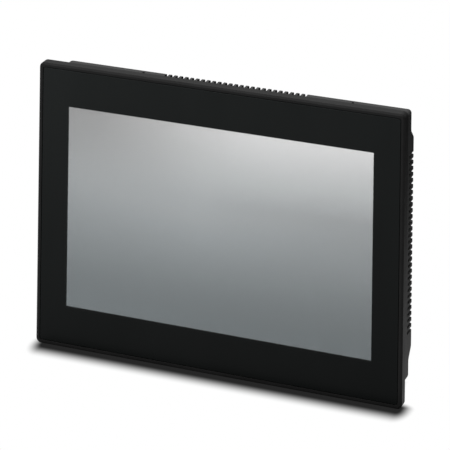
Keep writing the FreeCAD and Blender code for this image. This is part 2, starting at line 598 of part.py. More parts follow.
def power_plug():
    """Removable half of the power connector, with a wire hole and a screw clamp for each pole."""
    nose = bar(POWER_X, PLUG_HALF, BOARD_Y1 + 1.2, BOARD_Y1 + 7.6, PLUG_Z1, NOSE_Z1)
    body = bar(POWER_X, PLUG_HALF, PLUG_Y0, PLUG_Y1, PLUG_Z0, PLUG_Z1)
    room = CAGE_HALF + FIT
    tools = []
    for x in pole_places():
        cage_y1 = CAGE_Y0 + CAGE_H + CAGE_TRAVEL
        tools.append(bar(x, room, CAGE_Y0 - FIT, cage_y1 + 2 * FIT, CAGE_Z - room, CAGE_Z + room))
        tools.append(rod(WIRE_HOLE_R, (x, CAGE_Y0 + 2.7, PLUG_Z0 - PAST), Z, 3.0))
        tools.append(rod(CLAMP_HEAD_R + 0.2, (x, CLAMP_TOP_Y - CLAMP_HEAD_H - FIT, CAGE_Z), Y, 4.0))
        tools.append(rod(CLAMP_SHANK_R + 0.2, (x, cage_y1 - PAST, CAGE_Z), Y, CLAMP_TOP_Y - cage_y1))
        tools.append(bar(x, 1.3, CONTACT_Y - 1.3, CONTACT_Y + 1.3, PLUG_Z1 + 0.8, NOSE_Z1 + PAST))
    return union([nose, body]).cut(tools)


def plug_contacts():
    """Spring sockets in the nose of the plug that grip the header's pins."""
    tubes = []
    for x in pole_places():
        tube = bar(x, 1.2, CONTACT_Y - 1.2, CONTACT_Y + 1.2, PLUG_Z1 + 0.9, NOSE_Z1 - 0.2)
        tubes.append(tube.cut(bar(x, 0.6, CONTACT_Y - 0.6, CONTACT_Y + 0.6, PLUG_Z1 + 1.4, NOSE_Z1)))
    return group(tubes)


def terminal_screw(x):
    """Clamp screw of one pole, with a slotted head at the back of the plug."""
    seat_y, tip_y = CLAMP_TOP_Y - CLAMP_HEAD_H, CAGE_Y0 + 4.3
    head = rod(CLAMP_HEAD_R, (x, seat_y, CAGE_Z), Y, CLAMP_HEAD_H)
    shank = rod(CLAMP_SHANK_R, (x, tip_y, CAGE_Z), Y, seat_y - tip_y)
    slot = bar(x, CLAMP_HEAD_R + FIT, CLAMP_TOP_Y - 0.9, CLAMP_TOP_Y + PAST, CAGE_Z - 0.35, CAGE_Z + 0.35)
    return union([head, shank]).cut(slot)


def terminal_cage(x):
    """Clamp of one pole, open at rest; it climbs the turning screw and grips the wire."""
    z0, z1 = CAGE_Z - CAGE_HALF, CAGE_Z + CAGE_HALF
    body = bar(x, CAGE_HALF, CAGE_Y0, CAGE_Y0 + CAGE_H, z0, z1)
    window = bar(x, 1.4, CAGE_Y0 + 0.6, CAGE_Y0 + 3.4, z0 - PAST, z1 + PAST)
    return body.cut([window, rod(CLAMP_SHANK_R + FIT, (x, CAGE_Y0 + 3.0, CAGE_Z), Y, 2.0)])


# --- earth terminal -----------------------------------------------------------------------------------
LEG_Z, LEG_T = INNER_Z + 0.2, 1.5  # leg of the earth bracket, just inside the wall
WASHER_R, WASHER_T, WASHER_TEETH, TOOTH_R = 4.4, 0.8, 12, 0.55
EARTH_HEAD_R, EARTH_HEAD_H, EARTH_SHANK_R = 3.8, 2.4, 1.6
WASHER_Z = LEG_Z - WASHER_T


def earth_bracket():
    """Metal angle that joins the earth screw to the chassis plate."""
    foot = bar(EARTH_X, 4.0, PLATE_Y1, PLATE_Y1 + LEG_T, LEG_Z, LEG_Z + 14.0)
    leg = bar(EARTH_X, 4.0, PLATE_Y1, EARTH_Y + 6.0, LEG_Z, LEG_Z + LEG_T)
    hole = rod(EARTH_SHANK_R + FIT, (EARTH_X, EARTH_Y, LEG_Z - PAST), Z, LEG_T + 2 * PAST)
    return union([foot, leg]).cut(hole)


def earth_washer():
    """Toothed washer held on the earth screw."""
    tools = [rod(EARTH_SHANK_R + FIT, (EARTH_X, EARTH_Y, WASHER_Z - PAST), Z, WASHER_T + 2 * PAST)]
    for i in range(WASHER_TEETH):
        turn = 2 * math.pi * i / WASHER_TEETH
        x, y = EARTH_X + WASHER_R * math.cos(turn), EARTH_Y + WASHER_R * math.sin(turn)
        tools.append(rod(TOOTH_R, (x, y, WASHER_Z - PAST), Z, WASHER_T + 2 * PAST))
    return rod(WASHER_R, (EARTH_X, EARTH_Y, WASHER_Z), Z, WASHER_T).cut(tools)


def earth_screw():
    """Earth screw with a cross recess, facing down."""
    head = rod(EARTH_HEAD_R, (EARTH_X, EARTH_Y, WASHER_Z), Z * -1, EARTH_HEAD_H)
    shank = rod(EARTH_SHANK_R, (EARTH_X, EARTH_Y, WASHER_Z), Z, 7.0)
    z0, z1 = WASHER_Z - EARTH_HEAD_H - PAST, WASHER_Z - EARTH_HEAD_H + 1.2
    across = bar(EARTH_X, 2.4, EARTH_Y - 0.5, EARTH_Y + 0.5, z0, z1)
    along = bar(EARTH_X, 0.5, EARTH_Y - 2.4, EARTH_Y + 2.4, z0, z1)
    return union([head, shank]).cut([across, along])


# --- rear cover ---------------------------------------------------------------------------------------
def housing_form(inset, y0):
    """Solid form of the housing, inset by a wall thickness, with the stepped back."""
    top, bottom = HOUSING_Z1 - inset, HOUSING_Z0 + inset
    low, high, drift = LOW_Y - inset, HIGH_Y - inset, inset * 0.6  # drift keeps the wall even on the slopes
    steps = [
        (low, DEEP_BOTTOM_Z - BOTTOM_SLOPE + drift),
        (high, DEEP_BOTTOM_Z + drift),
        (high, DEEP_TOP_Z - drift),
        (low, DEEP_TOP_Z + TOP_SLOPE - drift),
    ]
    profile = [(y0, bottom), (low, bottom)] + steps + [(low, top), (y0, top)]
    form = prism([(-HOUSING_W / 2, y, z) for y, z in profile], X * HOUSING_W)
    creases = [e for e in form.Edges if e.BoundBox.XLength > 1 and is_at(e.BoundBox.Center, steps)]
    form = form.makeFillet(STEP_ROUND - inset / 2, creases)
    width, height, middle = HOUSING_W - 2 * inset, top - bottom, (top + bottom) / 2
    return form.common(plate(width, height, HOUSING_R - inset, y0 - PAST, HIGH_Y + 1, 0, middle))


def is_at(point, places):
    """True when a point has one of the given depths and heights."""
    return any(abs(point.y - y) < 0.01 and abs(point.z - z) < 0.01 for y, z in places)


def rear_rim(form):
    """Outer edges round the stepped back of the housing."""
    rim = []
    for edge in form.Edges:
        box = edge.BoundBox
        along_depth = max(box.XLength, box.ZLength) < 0.01
        outside = max(abs(box.XMin), abs(box.XMax)) > HOUSING_W / 2 - 0.01 and box.XLength < HOUSING_R + 0.01
        outside = outside or box.ZMin < HOUSING_Z0 + 0.01 or box.ZMax > HOUSING_Z1 - 0.01
        if box.YMin > LOW_Y - 0.01 and outside and not along_depth:
            rim.append(edge)
    return rim


def slot_row(starts, run_from_y, back_y):
    """Cutting tools for one row of slots, each a slit with round ends that wraps round an edge."""
    half = SLOT_W / 2
    tools = []
    for wall, back in starts:
        across = back - wall
        reach = across.Length
        across.normalize()
        low = FreeCAD.Vector(wall.x, run_from_y + half, wall.z)
        wide = X * half if abs(across.z) > 0.5 else Z * half
        deep = Y * (back_y - low.y)
        tools.append(prism([low - wide, low + wide, low + wide + deep, low - wide + deep], across * reach))
        tools.append(Part.makeCylinder(half, reach, low, across))
        end = FreeCAD.Vector(back.x, back_y - WALL - 2 * PAST, back.z)
        tools.append(Part.makeCylinder(half, WALL + 2 * PAST, end, Y))
    return tools


def side_slots():
    """Cooling slots that wrap round both rear side edges of the deep middle."""
    starts = []
    for side in (-1, 1):
        for i in range(SIDE_SLOTS):
            z = SIDE_SLOT_MID_Z + (i - (SIDE_SLOTS - 1) / 2) * SLOT_PITCH
            wall = FreeCAD.Vector(side * (HOUSING_W / 2 + PAST), 0, z)
            starts.append((wall, FreeCAD.Vector(side * (HOUSING_W / 2 - SIDE_SLOT_BACK), 0, z)))
    return slot_row(starts, HIGH_Y - SIDE_SLOT_RUN, HIGH_Y + PAST)


def end_slots():
    """Cooling slots that wrap round the rear edges of the top and bottom walls."""
    top = (1, HOUSING_Z1, TOP_SLOT_RUN, TOP_SLOT_BACK)
    bottom = (-1, HOUSING_Z0, BOTTOM_SLOT_RUN, BOTTOM_SLOT_BACK)
    tools = []
    for side, z, run, back in (top, bottom):
        starts = []
        for i in range(END_SLOTS):
            x = (i - (END_SLOTS - 1) / 2) * SLOT_PITCH
            starts.append((FreeCAD.Vector(x, 0, z + side * PAST), FreeCAD.Vector(x, 0, z - side * back)))
        tools += slot_row(starts, LOW_Y - run, LOW_Y + PAST)
    return tools


def port_openings():
    """Openings in the bottom wall for the ports and controls."""
    z0, z1 = WALL_Z - PAST, INNER_Z + PAST
    gap, y0 = 0.2, BOARD_Y1 - 0.2
    tools = [bar(x, LAN_HALF + gap, y0, BOARD_Y1 + LAN_H + gap, z0, z1) for x in LAN_X]
    tools += [bar(x, USB_HALF + gap, y0, BOARD_Y1 + USB_H + gap, z0, z1) for x in USB_X]
    tools.append(bar(POWER_X, HEADER_HALF + gap, PLUG_Y0 - gap, PLUG_Y1 + gap, z0, z1))
    tools.append(bar(SERIAL_X, 9.8, SERIAL_Y - 4.8, SERIAL_Y + 4.8, z0, z1))
    tools += [rod(3.2, (x, SERIAL_Y, z0), Z, z1 - z0) for x in serial_screw_places()]
    tools.append(bar(CARD_X, CARD_W / 2 + 1, CARD_Y - 0.5, CARD_Y + CARD_T + 0.5, z0, z1))
    tools.append(bar(DIP_X, DIP_HALF + gap, y0, BOARD_Y1 + DIP_H + gap, z0, z1))
    tools.append(rod(RESET_R + 0.3, (RESET_X, RESET_Y, z0), Z, z1 - z0))
    tools.append(rod(WASHER_R + 0.8, (EARTH_X, EARTH_Y, z0), Z, z1 - z0))
    return tools


def clamp_slots():
    """Slots for the hooks of the door clamps, through the top and bottom walls."""
    places = [(x, HOUSING_Z1 - WALL) for x in TOP_CLAMPS_X] + [(x, HOUSING_Z0) for x in BOTTOM_CLAMPS_X]
    half, y0, y1 = CLAMP_SLOT_W / 2, CLAMP_SLOT_Y0, CLAMP_SLOT_Y1
    return [bar(x, half, y0, y1, z - PAST, z + WALL + PAST) for x, z in places]


def rear_cover():
    """Moulded shell with a stepped back, cooling slots, screw towers and port openings."""
    outer = housing_form(0.0, FLANGE_Y)
    outer = outer.makeFillet(REAR_ROUND, rear_rim(outer))
    shell = outer.cut(housing_form(WALL, FLANGE_Y - PAST))
    towers = [rod(TOWER_R, (x, FLANGE_Y, z), Y, LOW_Y - 1.0 - FLANGE_Y) for x, z in COVER_SCREWS]
    shell = union([shell] + towers)
    tools = side_slots() + end_slots() + port_openings() + clamp_slots()
    for x, z in COVER_SCREWS:
        tools.append(rod(CLEAR_R, (x, FLANGE_Y - PAST, z), Y, 8.0))
        tools.append(rod(TOWER_BORE_R, (x, COVER_SEAT_Y, z), Y, HIGH_Y))
    tools.append(plate(LABEL_W, LABEL_H, 1.5, HIGH_Y - LABEL_RECESS, HIGH_Y + 1, LABEL_X, LABEL_Z))
    return shell.cut(tools)


def rear_cover_screws():
    """Screws at the bottom of the four towers."""
    return group([screw(x, z, COVER_SEAT_Y, 7.6) for x, z in COVER_SCREWS])


def rating_label():
    """Blank label in a shallow recess on the back."""
    y0 = HIGH_Y - LABEL_RECESS
    return plate(LABEL_W - 2 * LABEL_GAP, LABEL_H - 2 * LABEL_GAP, 1.2, y0, y0 + LABEL_T, LABEL_X, LABEL_Z)


# --- export -------------------------------------------------------------------------------------------
PIECES = [
    front_frame, frame_inserts, cover_glass, glass_adhesive, touch_sensor, touch_tail, lcd_panel,
    optical_sheets, light_guide, led_strip, backlight_tray, panel_gasket, chassis_plate, display_cable,
    backlight_cable, cable_headers, chassis_screws, board_standoffs, main_board, board_screws, processor,
    thermal_pad, heatsink, heatsink_pins, memory_chips, interface_chips, power_capacitors, power_inductor,
    coin_cell, coin_cell_holder, ethernet_jacks, ethernet_contacts, usb_shells, usb_tongues, serial_port,
    serial_pins, serial_jackscrews, card_socket, memory_card, dip_switch, reset_switch, reset_button,
    power_header, power_pins, power_plug, plug_contacts, earth_bracket, earth_washer, earth_screw,
    rear_cover, rear_cover_screws, rating_label,
]


def nodes():
    """Every node's name and shape."""
    for maker in PIECES:
        yield maker.__name__, maker()
    for i, x in enumerate(dip_places(), 1):
        yield f"dip_lever_{i}", dip_lever(x)
    for i, x in enumerate(pole_places(), 1):
        yield f"terminal_screw_{i}", terminal_screw(x)
        yield f"terminal_cage_{i}", terminal_cage(x)


os.makedirs("parts", exist_ok=True)
for name, shape in nodes():
    shape.exportStep(f"parts/{name}.step")
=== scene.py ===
"""Looks of a 10.1 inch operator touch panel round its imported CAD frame.

Materials come first, then the soft parts, and then the floor, the light and the camera.

Everything is in metres in the frame's own axes: +X right and +Z up seen from the front, +Y towards the back.
"""

import math

import bmesh
import bpy
from mathutils import Matrix, Vector

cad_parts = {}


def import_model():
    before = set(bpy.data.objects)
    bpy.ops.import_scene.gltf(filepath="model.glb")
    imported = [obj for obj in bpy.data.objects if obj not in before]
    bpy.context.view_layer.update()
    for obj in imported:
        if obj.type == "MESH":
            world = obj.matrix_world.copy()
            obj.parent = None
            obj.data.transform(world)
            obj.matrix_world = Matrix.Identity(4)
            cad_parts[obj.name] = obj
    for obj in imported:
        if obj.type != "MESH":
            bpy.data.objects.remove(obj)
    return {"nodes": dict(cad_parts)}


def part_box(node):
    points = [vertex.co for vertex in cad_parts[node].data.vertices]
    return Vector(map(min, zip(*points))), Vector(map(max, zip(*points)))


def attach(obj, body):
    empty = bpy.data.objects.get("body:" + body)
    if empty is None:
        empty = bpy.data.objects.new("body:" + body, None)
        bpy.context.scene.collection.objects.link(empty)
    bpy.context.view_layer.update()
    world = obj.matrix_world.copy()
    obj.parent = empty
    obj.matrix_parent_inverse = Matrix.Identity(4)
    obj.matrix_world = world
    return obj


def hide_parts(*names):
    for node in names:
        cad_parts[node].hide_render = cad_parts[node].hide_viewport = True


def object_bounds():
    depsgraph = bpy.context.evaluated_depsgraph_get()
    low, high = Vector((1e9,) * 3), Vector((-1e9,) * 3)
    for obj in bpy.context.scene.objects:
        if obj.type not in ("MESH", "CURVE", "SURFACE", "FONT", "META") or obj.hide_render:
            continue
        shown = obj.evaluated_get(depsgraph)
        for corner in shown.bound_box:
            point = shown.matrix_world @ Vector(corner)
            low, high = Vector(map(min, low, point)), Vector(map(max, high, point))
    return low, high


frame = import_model()
CAD_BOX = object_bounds()

MM = 0.001

# --- view ---------------------------------------------------------------------------------------------
LENS, SENSOR = 228.9, 36.0  # millimetres
CAMERA_AZIMUTH, CAMERA_ELEVATION, CAMERA_DISTANCE = 20.586, 21.69, 1.9189  # degrees, degrees, metres
CAMERA_AIM = Vector((-0.93, -1.64, -3.03)) * MM  # from the middle of the object
FILM_YAW, FILM_ROLL = 20.886, 0.754  # degrees: the film stands upright, as in a view camera
CLIP_NEAR, CLIP_FAR = 0.1, 60.0

# --- light --------------------------------------------------------------------------------------------
SUN_STRENGTH, SUN_WIDTH = 6.5, 16.0  # overhead softbox, as wide as this many degrees
SUN_TILT, SUN_SIDE = 8.0, -3.0  # degrees off the vertical, to the back and to the right
FILL_SIZE, FILL_POWER, FILL_PLACE = 1.2, 28.0, Vector((-0.9, -1.7, 0.7))  # in front, at the left
BOUNCE_SIZE, BOUNCE_POWER, BOUNCE_PLACE = 0.08, 0.022, Vector((0.27, 0.02, -0.05))  # close by, at the right
SKY, GROUND, BACKGROUND = 0.55, 1.0, 1.05  # surroundings above, below, and as the camera sees them
HORIZON = 0.15  # half the height of the band where one turns into the other
SHADE_LEFT, SHADE_RIGHT, SHADE_SHARE = -0.1, 0.5, 0.05  # they fade to this share towards the right

# --- floor --------------------------------------------------------------------------------------------
FLOOR_SIZE, FLOOR_GAP = 40.0, 0.2 * MM
SHADOW_CORE, SHADOW_REACH, SHADOW_DARK = 3.5 * MM, 20.0 * MM, 0.02  # in front of the frame's foot
SHADOW_INSET, SHADOW_ENDS, SHADOW_BEHIND = 5.0 * MM, 1.7, 2.4  # it fades faster at its ends and behind
SHADOW_SHIFT = 1.8 * MM  # to the right, away from the fill
UNDER_DEEP, UNDER_DARK = 14.0 * MM, 0.1  # shade under the housing, from its edge inwards
SHINE_FRONT, SHINE_NEAR, SHINE_FAR = 0.55, 0.95, 0.03  # floor in reflections: in front, behind, far back
SHINE_STEP, SHINE_FADE = 10.0 * MM, 0.36  # ways back over which they change

# --- display ------------------------------------------------------------------------------------------
LIT_W, LIT_H = 217.2 * MM, 135.6 * MM  # clear window in the black print of the glass
LIT_X, LIT_Z = 0.35 * MM, 0.16 * MM  # its centre
WINDOW_EDGE = 0.12 * MM
# painted reflection on the display, drawn into its base colour: these set its brightness and its tint
SHEEN_TOP, SHEEN_TOP_REACH = (0.30, 0.74), 0.72  # from the left edge to this share of the width
SHEEN_MIDDLE, SHEEN_CENTRE, SHEEN_SPREAD = (0.43, 0.34), 0.45, 0.55  # from the centre outwards
SHEEN_LOW = (0.165, 0.145)  # from left to right
UPPER_END, LOWER_START, LOWER_END = 0.36, 0.24, 0.95  # shares of the height where these take over
LOW_TINT = (0.86, 1.0, 1.06)
PIXEL, PIXEL_LINE, PIXEL_DARK = 0.085 * MM, 0.02 * MM, 0.12

# --- patterns and edges -------------------------------------------------------------------------------
CLOUD, STREAKS = (0.3, 0.7), (0.35, 0.65)  # range a noise nearly fills, and one for harder edges
EDGE_SAMPLES, EDGE_COSINE = 6, 0.75  # rays that look for an edge, and the cosine where it counts in full
PLASTIC_EDGE, METAL_EDGE, COATED_EDGE, GLASS_EDGE = 0.25 * MM, 0.12 * MM, 0.15 * MM, 0.2 * MM  # rounding
LATTICE_HALF, LATTICE_SIDES = 2.5 * MM, (0.06 * MM, 0.02 * MM)  # half its pitch, soft side of its lines
LABEL_INSET, LABEL_SIDES = 2.0 * MM, (0.22 * MM, 0.12 * MM)  # printed frame and the soft side of its line
TRACK_HALF, TRACK_SIDES = 0.4 * MM, (0.14 * MM, 0.2 * MM)  # half the pitch of the flexible tracks
TRACK_CELL, FINE_CELL, PAD_CELL, DOT_CELL = 2.6 * MM, 1.1 * MM, 3.3 * MM, 0.7 * MM

# --- soft parts ---------------------------------------------------------------------------------------
SEAL_BAND, SEAL_R, SEAL_STEP = 3.2 * MM, 1.4 * MM, 2.0 * MM
SEAL_UNEVEN, SEAL_WAVES = 0.03, (310.0, 270.0)  # share of its section, radians per metre along X and Z
SEAL_CROWN = ((-0.5, 0.0), (-0.5, 0.5), (-0.47, 0.76), (-0.38, 0.92), (-0.2, 0.985))  # up to its middle
SEAL_JOINT, JOINT_HEIGHT, JOINT_WIDTH = 0.6 * MM, 0.8, 0.92  # shares of the section left where the ends meet
PAD_R, PAD_BULGE, PAD_LEVELS, PAD_STEP = 1.5 * MM, 0.35 * MM, 8, 2.0 * MM
RIBBON_T, RIBBON_PITCH, RIBBON_BEND = 0.25 * MM, 1.0 * MM, 1.2 * MM
RIBBON_DROP = 0.66  # share of its depth at which it turns down
TAIL_T, TAIL_PITCH, TAIL_BEND = 0.18 * MM, 0.8 * MM, 1.0 * MM
TAIL_SHORT = 0.8 * MM  # its front leg ends this much lower than the back leg
RIDGE_POINTS, RIDGE_MEAN, RIDGE_SWELL = 4, 0.36, 0.14  # skin of a ribbon over each conductor
WIRE_SIDES, WIRE_STEPS, WIRE_BOW = 12, 14, 0.35 * MM
BEND_STEPS = 8
CREASE = 50.0  # degrees


class Nodes:
    """Node tree being built."""

    def __init__(self, tree):
        self.tree = tree

    def node(self, kind, inputs=None, **settings):
        """Adds a node, with its settings and its inputs by name or number."""
        made = self.tree.nodes.new(kind)
        for key, value in settings.items():
            setattr(made, key, value)
        for key, value in (inputs or {}).items():
            self.feed(made.inputs[key], value)
        return made

    def feed(self, socket, value):
        """Gives a socket a plain value or another node's output."""
        if isinstance(value, bpy.types.NodeSocket):
            self.tree.links.new(value, socket)
        else:
            socket.default_value = value

    def maths(self, operation, a, b=0.0, c=0.0):
        """Result of one sum on plain values or outputs."""
        return self.node("ShaderNodeMath", {0: a, 1: b, 2: c}, operation=operation).outputs[0]

    def ramp(self, value, low, high, start=0.0, end=1.0, kind="LINEAR"):
        """Value carried from low..high to start..end, held at both ends."""
        inputs = {"Value": value, "From Min": low, "From Max": high, "To Min": start, "To Max": end}
        return self.node("ShaderNodeMapRange", inputs, interpolation_type=kind).outputs["Result"]

    def blend(self, share, first, second, mode="MIX"):
        """Mix of two colours."""
        made = self.node("ShaderNodeMix", data_type="RGBA", blend_type=mode)
        for socket, value in zip((made.inputs[0], made.inputs[6], made.inputs[7]), (share, first, second)):
            self.feed(socket, value)
        return made.outputs[2]

    def split(self, vector):
        """X, Y and Z of a vector."""
        parts = self.node("ShaderNodeSeparateXYZ", {0: vector}).outputs
        return parts[0], parts[1], parts[2]


class Shader(Nodes):
    """One material being built round its Principled node."""

    def __init__(self, name):
        self.material = bpy.data.materials.new(name)
        self.material.use_nodes = True
        super().__init__(self.material.node_tree)
        self.principled = self.tree.nodes["Principled BSDF"]
        self.place = self.node("ShaderNodeTexCoord").outputs["Object"]

    def surface(self, **inputs):
        """Sets inputs of the Principled node, named with underscores for spaces, and returns the material."""
        for key, value in inputs.items():
            self.feed(self.principled.inputs[key.replace("_", " ")], value)
        return self.material

    def axes(self):
        """The place on the object as X, Y and Z."""
        return self.split(self.place)

    def shade(self, level):
        """Grey of a brightness that comes from other nodes."""
        return self.node("ShaderNodeCombineColor", {0: level, 1: level, 2: level}).outputs[0]

    def noise(self, size, detail=3.0, stretch=(1.0, 1.0, 1.0)):
        """Cloudy pattern from 0 to 1 whose lumps are about size across, longer along a stretched axis."""
        scale = [1.0 / s for s in stretch]
        at = self.node("ShaderNodeVectorMath", {0: self.place, 1: scale}, operation="MULTIPLY").outputs[0]
        inputs = {"Vector": at, "Scale": 1.0 / size, "Detail": detail}
        return self.node("ShaderNodeTexNoise", inputs).outputs["Fac"]

    def cells(self, size, metric="EUCLIDEAN"):
        """Distance to the middle of cells about size across."""
        inputs = {"Vector": self.place, "Scale": 1.0 / size}
        return self.node("ShaderNodeTexVoronoi", inputs, feature="F1", distance=metric).outputs["Distance"]

    def edges(self, radius):
        """Normal with its edges rounded, and how close a point is to such an edge."""
        rounded = self.node("ShaderNodeBevel", {"Radius": radius}, samples=EDGE_SAMPLES).outputs[0]
        flat = self.node("ShaderNodeNewGeometry").outputs["Normal"]
        both = self.node("ShaderNodeVectorMath", {0: rounded, 1: flat}, operation="DOT_PRODUCT")
        return rounded, self.ramp(both.outputs["Value"], 1.0, EDGE_COSINE)

    def bump(self, height, depth, normal=None):
        """Normal of a surface whose height from 0 to 1 is depth deep."""
        inputs = {"Height": height, "Distance": depth, "Strength": 1.0}
        if normal is not None:
            inputs["Normal"] = normal
        return self.node("ShaderNodeBump", inputs).outputs[0]


def grey(value, tint=(1.0, 1.0, 1.0)):
    """Opaque colour of one brightness."""
    return tuple(value * t for t in tint) + (1.0,)


# --- plastics -----------------------------------------------------------------------------------------
def moulded(name, colour, grain=0.45, depth=0.02, rough=(0.42, 0.6), worn=1.6, gloss=0.35):
    """Moulded plastic with a spark eroded grain, faint flow marks and slightly polished edges.

    Grain and depth are in millimetres, and worn is how much lighter the edges are.
    """
    s = Shader(name)
    fine, flow = s.noise(grain * MM, 4.0), s.noise(28.0 * MM, 5.0, (1.0, 1.0, 0.4))
    normal, edge_mask = s.edges(PLASTIC_EDGE)
    tone = s.maths("ADD", s.ramp(fine, *CLOUD, 0.86, 1.08), s.ramp(flow, *CLOUD, -0.1, 0.1))
    tone = s.maths("ADD", tone, s.maths("MULTIPLY", edge_mask, worn - 1.0))
    base = s.blend(1.0, colour, s.shade(tone), "MULTIPLY")
    roughness = s.ramp(s.maths("ADD", fine, s.maths("MULTIPLY", flow, 0.6)), 0.5, 1.1, *rough)
    roughness = s.maths("SUBTRACT", roughness, s.maths("MULTIPLY", edge_mask, 0.1))
    bumped = s.bump(fine, depth * MM, normal)
    return s.surface(Base_Color=base, Roughness=roughness, Normal=bumped, Specular_IOR_Level=gloss)


def foam(name):
    """Closed cell foam: small pores in a soft dark skin."""
    s = Shader(name)
    pores = s.cells(0.5 * MM)
    patches = s.noise(9.0 * MM)
    base = s.blend(s.ramp(pores, 0.15, 0.6), grey(0.006), grey(0.028))
    base = s.blend(s.ramp(patches, 0.35, 0.7, 0.0, 0.5), base, grey(0.04))
    return s.surface(
        Base_Color=base,
        Roughness=s.ramp(patches, *CLOUD, 0.8, 0.95),
        Normal=s.bump(pores, 0.12 * MM),
        Specular_IOR_Level=0.2,
        Sheen_Weight=0.15,
        Sheen_Roughness=0.6,
    )


def silicone(name, colour):
    """Soft filled silicone, dull and a little blotchy."""
    s = Shader(name)
    grains, blotches = s.noise(0.25 * MM, 2.0), s.noise(3.0 * MM)
    base = s.blend(s.ramp(grains, *STREAKS, 0.0, 0.35), colour, grey(0.75))
    base = s.blend(s.ramp(blotches, 0.3, 0.8, 0.0, 0.3), base, grey(0.3))
    normal = s.bump(grains, 0.04 * MM)
    return s.surface(Base_Color=base, Roughness=0.75, Normal=normal, Subsurface_Weight=0.05)


def film(name, colour, rough=0.4):
    """Thin polyester film with a faint rolling direction."""
    s = Shader(name)
    streaks, cloud = s.noise(0.3 * MM, 3.0, (40.0, 1.0, 1.0)), s.noise(14.0 * MM)
    base = s.blend(s.ramp(streaks, *STREAKS, 0.0, 0.25), colour, grey(0.9))
    base = s.blend(s.ramp(cloud, *CLOUD, 0.0, 0.12), base, grey(0.4))
    return s.surface(
        Base_Color=base,
        Roughness=s.ramp(streaks, *CLOUD, rough - 0.08, rough + 0.08),
        Normal=s.bump(streaks, 0.004 * MM),
    )


# --- metals -------------------------------------------------------------------------------------------
def metal(name, colour, rough=(0.25, 0.42), brush=(30.0, 1.0, 1.0), line=0.15, stain=0.18):
    """Metal with fine brush or roll lines, light stains and a painted highlight along its edges.

    The lines are line millimetres wide and stretched by brush along each axis.
    """
    s = Shader(name)
    lines, clouds = s.noise(line * MM, 4.0, brush), s.noise(4.0 * MM, 5.0)
    normal, edge_mask = s.edges(METAL_EDGE)
    base = s.blend(s.ramp(clouds, 0.4, 0.75, 0.0, stain), colour, grey(0.25, (1.0, 0.96, 0.88)))
    base = s.blend(s.ramp(lines, *STREAKS, 0.0, 0.2), base, grey(0.85))
    # painted highlight: the colour is lighter along the edges
    base = s.blend(s.maths("MULTIPLY", edge_mask, 0.5), base, grey(0.9))
    roughness = s.maths("ADD", s.ramp(lines, *CLOUD, *rough), s.ramp(clouds, 0.3, 0.8, 0.0, 0.12))
    normal = s.bump(lines, 0.004 * MM, normal)
    return s.surface(Base_Color=base, Metallic=1.0, Roughness=roughness, Normal=normal)


def black_coated(name):
    """Black coated steel with bare metal showing at the edges of the recess."""
    s = Shader(name)
    grains = s.noise(0.2 * MM)
    normal, edge_mask = s.edges(COATED_EDGE)
    bare = s.ramp(s.maths("MULTIPLY", edge_mask, s.ramp(grains, 0.3, 0.6)), 0.15, 0.6, 0.0, 0.8)
    base = s.blend(bare, grey(0.018), grey(0.45))
    return s.surface(
        Base_Color=base,
        Metallic=s.maths("MULTIPLY", bare, 0.9),
        Roughness=s.ramp(grains, *CLOUD, 0.3, 0.5),
        Normal=s.bump(grains, 0.01 * MM, normal),
    )


# --- glass and display --------------------------------------------------------------------------------
def window_share(s):
    """1 inside the clear window of the glass and 0 under its black print."""
    x, _, z = s.axes()
    shares = []
    for along, middle, length in ((x, LIT_X, LIT_W), (z, LIT_Z, LIT_H)):
        away = s.maths("ABSOLUTE", s.maths("SUBTRACT", along, middle))
        shares.append(s.ramp(away, length / 2 + WINDOW_EDGE / 2, length / 2 - WINDOW_EDGE / 2))
    return s.maths("MULTIPLY", *shares)


def printed_glass(name):
    """Cover glass, black behind its border and clear over the display, with a painted reflection that makes
    the print darker towards the bottom and the right, and faint wiping marks.

    Its back face is clear all over, so that the print counts once.
    """
    s = Shader(name)
    low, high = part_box("cover_glass")
    _, backwards, _ = s.split(s.node("ShaderNodeNewGeometry").outputs["True Normal"])
    clear = s.maths("MAXIMUM", window_share(s), s.ramp(backwards, 0.4, 0.9))
    wiped, specks = s.noise(45.0 * MM, 4.0, (1.0, 1.0, 3.0)), s.noise(1.2 * MM, 2.0)
    x, _, z = s.axes()
    # painted reflection: the print is lighter at the top left and darker towards the bottom and the right
    tone = s.maths("MULTIPLY", s.ramp(z, low.z, high.z, 0.6, 1.1), s.ramp(x, low.x, high.x, 1.08, 0.85))
    tone = s.maths("MULTIPLY", tone, s.ramp(wiped, *CLOUD, 0.92, 1.08))
    base = s.blend(1.0, grey(0.009, (0.9, 1.01, 1.0)), s.shade(tone), "MULTIPLY")
    normal, edge_mask = s.edges(GLASS_EDGE)
    base = s.blend(s.maths("MULTIPLY", edge_mask, 0.15), base, grey(0.12, (0.9, 1.05, 1.0)))
    roughness = s.maths("ADD", s.ramp(wiped, 0.35, 0.7, 0.16, 0.24), s.ramp(specks, 0.62, 0.75, 0.0, 0.05))
    return s.surface(
        Base_Color=base,
        Roughness=roughness,
        Normal=normal,
        Specular_IOR_Level=0.06,
        Alpha=s.ramp(clear, 0.0, 1.0, 1.0, 0.05),
    )


def sensor_glass(name):
    """Clear sensor glass with a faint lattice of conductors."""
    s = Shader(name)
    x, _, z = s.axes()
    rows = [s.maths("PINGPONG", along, LATTICE_HALF) for along in (x, z)]
    lattice = s.maths("MAXIMUM", *[s.ramp(row, *LATTICE_SIDES) for row in rows])
    base = s.blend(lattice, grey(0.7, (0.97, 1.0, 1.0)), grey(0.5, (1.0, 0.98, 0.94)))
    return s.surface(Base_Color=base, Roughness=0.08, Alpha=s.maths("MULTIPLY_ADD", lattice, 0.01, 0.03))


